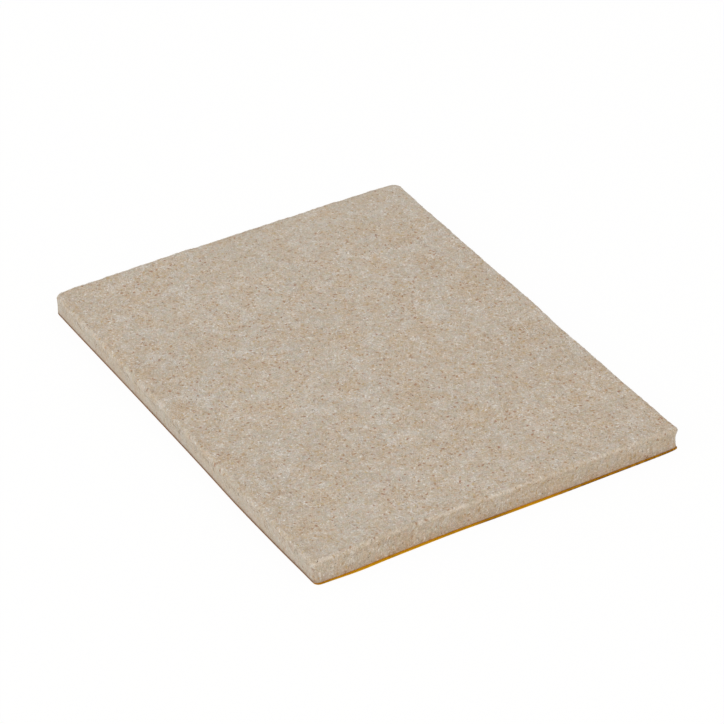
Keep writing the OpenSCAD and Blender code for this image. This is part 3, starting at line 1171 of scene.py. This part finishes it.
class FELTPAD_OT_fringe(bpy.types.Operator):
    """Tease short fibres out of the shoulder and the cut sides"""

    bl_idname = "feltpad.fringe"
    bl_label = "Edge fringe"

    # Share of the fringe that grows on the shoulder, and share of the way round that the rest takes up.
    # Travel ends with the left side, whose wall is cut clean.
    ON_SHOULDER = 0.7
    ROUND_WALLS = 0.72
    # Lowest starts, in bends of the shoulder and in shares of the way down the side.
    SHOULDER_DROP = 1.6
    WALL_DROP = 0.9
    # Spread of the headings on the walls about straight down.
    WALL_SPREAD = 0.5

    def execute(self, context):
        felt, sizes = context.scene.felt_pad_felt, context.scene.felt_pad_fibres
        form = FeltForm(felt)
        rng = np.random.default_rng(FRINGE_SEED)
        count = sizes.fringe_count
        shoulder = rng.uniform(size=count) < self.ON_SHOULDER
        high = rng.uniform(0, self.SHOULDER_DROP * form.bend, count)
        low = rng.uniform(form.bend, self.WALL_DROP * form.drop, count)
        anywhere = rng.uniform(0, 1, count)
        on_walls = rng.uniform(0, self.ROUND_WALLS, count)
        any_way = rng.uniform(0, TURN, count)
        downwards = np.pi / 2 + rng.normal(0, self.WALL_SPREAD, count)
        starts = (form.plan.round * np.where(shoulder, anywhere, on_walls), np.where(shoulder, high, low))
        headings = np.where(shoulder, any_way, downwards)
        material = fibre_material("edge_fringe", felt.honey, felt.teased_and_highlight)
        lift = sizes.fringe_lift
        scatter("edge_fringe", form.fibre_side, starts, rng, sizes, lift, LOOSE_IN_FRINGE, material, headings)
        return {"FINISHED"}


class FELTPAD_OT_tape(bpy.types.Operator):
    """Build the tape: two adhesive coats and the tissue between them"""

    bl_idname = "feltpad.tape"
    bl_label = "Tape"

    def execute(self, context):
        tape = context.scene.felt_pad_tape
        adhesive = tape_material("amber_adhesive", tape, tape.amber, gloss=0.22)
        tissue = tape_material("soaked_tissue", tape, tape.tissue, gloss=0.5)
        layers = (
            ("base_side_adhesive", "base_coat", adhesive, "adhesive", "liner_sheet"),
            ("tissue_carrier", "tissue_layer", tissue, "tissue", "base_coat"),
            ("felt_side_adhesive", "felt_coat", adhesive, "adhesive", "tissue_layer"),
        )
        radii = corner_radii(context.scene.felt_pad_felt)
        for node, name, material, slot, below in layers:
            points, faces, values = flat_sheet(node, tape, radii, PAD_CUT)
            piece = make_piece(name, points, faces, material, "pad", values, CREASE)
            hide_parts(node)
        return {"FINISHED"}


class FELTPAD_OT_liner(bpy.types.Operator):
    """Build the release liner: a thin flat sheet under the pad"""

    bl_idname = "feltpad.liner"
    bl_label = "Release liner"

    def execute(self, context):
        liner = context.scene.felt_pad_liner
        radii = corner_radii(context.scene.felt_pad_felt)
        points, faces, values = flat_sheet("release_liner", liner, radii, LINER_CUT)
        material = liner_material(liner)
        piece = make_piece("liner_sheet", points, faces, material, None, values, CREASE)
        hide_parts("release_liner")
        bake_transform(piece)
        return {"FINISHED"}


class FELTPAD_OT_stage(bpy.types.Operator):
    """Set up the floor, the lamps and the camera"""

    bl_idname = "feltpad.stage"
    bl_label = "Stage"

    FLOOR_REACH = 6.0
    FLOOR_GAP = 0.02 * MM
    LAMP_SIZE = 0.9
    KEY_PLACE = (-1.15, 0.2, 0.5)
    FILL_PLACE = (0.3, -1.15, 0.35)
    # In millimetres, as cameras give it.
    SENSOR_WIDTH = 36.0
    CLIP_START = 0.01

    def execute(self, context):
        stage = context.scene.felt_pad_stage
        self.floor(stage)
        self.light(stage)
        self.camera(context.scene, stage)
        context.scene.view_settings.view_transform = "Standard"
        return {"FINISHED"}

    def floor(self, stage):
        """A flat square just under the liner."""
        reach = self.FLOOR_REACH
        corners = [(-reach, -reach), (reach, -reach), (reach, reach), (-reach, reach)]
        mesh = bpy.data.meshes.new("floor")
        mesh.from_pydata([(x, y, CAD_LOW.z - self.FLOOR_GAP) for x, y in corners], [], [(0, 1, 2, 3)])
        mesh.materials.append(floor_material(stage))
        floor = bpy.data.objects.new("floor", mesh)
        bpy.context.scene.collection.objects.link(floor)

    def light(self, stage):
        """An even sky, which the eye sees as white, a soft lamp on the left and a weak warm one in front."""
        world = bpy.data.worlds.new("soft_sky")
        nodes = emptied(world)
        sky = nodes.add("ShaderNodeBackground", {"Color": solid(stage.sky_tint), "Strength": stage.sky})
        white = nodes.add("ShaderNodeBackground", {"Color": (1.0,) * 4, "Strength": 1.0})
        nodes.show("ShaderNodeOutputWorld", sky, white)
        bpy.context.scene.world = world
        self.lamp("key_lamp", self.KEY_PLACE, stage.key, stage.key_tint)
        self.lamp("fill_lamp", self.FILL_PLACE, stage.fill, stage.fill_tint)

    def lamp(self, name, place, power, tint):
        """A large soft lamp that faces the pad, with its top up."""
        data = bpy.data.lights.new(name, "AREA")
        data.size = self.LAMP_SIZE
        data.energy = power
        data.color = tint
        lamp = bpy.data.objects.new(name, data)
        back = unit(np.array(place))
        right = unit(np.cross((0, 0, 1), back))
        lamp.matrix_world = standing(right, np.cross(back, right), back, place)
        bpy.context.scene.collection.objects.link(lamp)

    def camera(self, scene, stage):
        """A camera turned by azimuth, elevation and roll, with the pad set off from the view's middle."""
        az, el = stage.azimuth, stage.elevation
        ahead = np.array([np.sin(az) * np.cos(el), np.cos(az) * np.cos(el), -np.sin(el)])
        level = np.array([np.cos(az), -np.sin(az), 0.0])
        below = np.cross(ahead, level)
        right = np.cos(stage.roll) * level + np.sin(stage.roll) * below
        down = np.cos(stage.roll) * below - np.sin(stage.roll) * level
        place = -(right * stage.offset_right + down * stage.offset_down + ahead * stage.distance)
        data = bpy.data.cameras.new("camera")
        data.sensor_width = self.SENSOR_WIDTH
        data.lens = stage.focal * self.SENSOR_WIDTH
        data.clip_start = self.CLIP_START
        camera = bpy.data.objects.new("camera", data)
        camera.matrix_world = standing(right, -down, -ahead, place)
        scene.collection.objects.link(camera)
        scene.camera = camera


def standing(right, up, back, place):
    """Matrix of a lamp or camera at a place, from the three directions of its own axes."""
    matrix = np.eye(4)
    matrix[:3] = np.column_stack([right, up, back, place])
    return Matrix(matrix.tolist())


class FELTPAD_PT_sidebar(bpy.types.Panel):
    """Lists the pad's operators in the order in which they run"""

    bl_idname = "FELTPAD_PT_sidebar"
    bl_label = "Felt furniture pad"
    bl_space_type = "VIEW_3D"
    bl_region_type = "UI"
    bl_category = "Felt pad"

    def draw(self, context):
        for operator in OPERATORS:
            self.layout.operator(operator.bl_idname)
        for name, group in SETTINGS.items():
            box = self.layout.box()
            box.label(text=group.__doc__)
            for prop in group.__annotations__:
                box.prop(getattr(context.scene, name), prop)


SETTINGS = {
    "felt_pad_felt": FeltSettings,
    "felt_pad_fibres": FibreSettings,
    "felt_pad_tape": TapeSettings,
    "felt_pad_liner": LinerSettings,
    "felt_pad_stage": StageSettings,
}
OPERATORS = (
    FELTPAD_OT_slab,
    FELTPAD_OT_fibres,
    FELTPAD_OT_tufts,
    FELTPAD_OT_fringe,
    FELTPAD_OT_tape,
    FELTPAD_OT_liner,
    FELTPAD_OT_stage,
)
CLASSES = (*SETTINGS.values(), *OPERATORS, FELTPAD_PT_sidebar)


def register():
    for cls in CLASSES:
        bpy.utils.register_class(cls)
    for name, group in SETTINGS.items():
        setattr(bpy.types.Scene, name, PointerProperty(type=group))


def unregister():
    for name in SETTINGS:
        delattr(bpy.types.Scene, name)
    for cls in reversed(CLASSES):
        bpy.utils.unregister_class(cls)


def main():
    """Registers the classes and makes the pieces in order."""
    register()
    bpy.ops.feltpad.slab()
    bpy.ops.feltpad.fibres()
    bpy.ops.feltpad.tufts()
    bpy.ops.feltpad.fringe()
    bpy.ops.feltpad.tape()
    bpy.ops.feltpad.liner()
    bpy.ops.feltpad.stage()


if __name__ == "__main__":
    main()
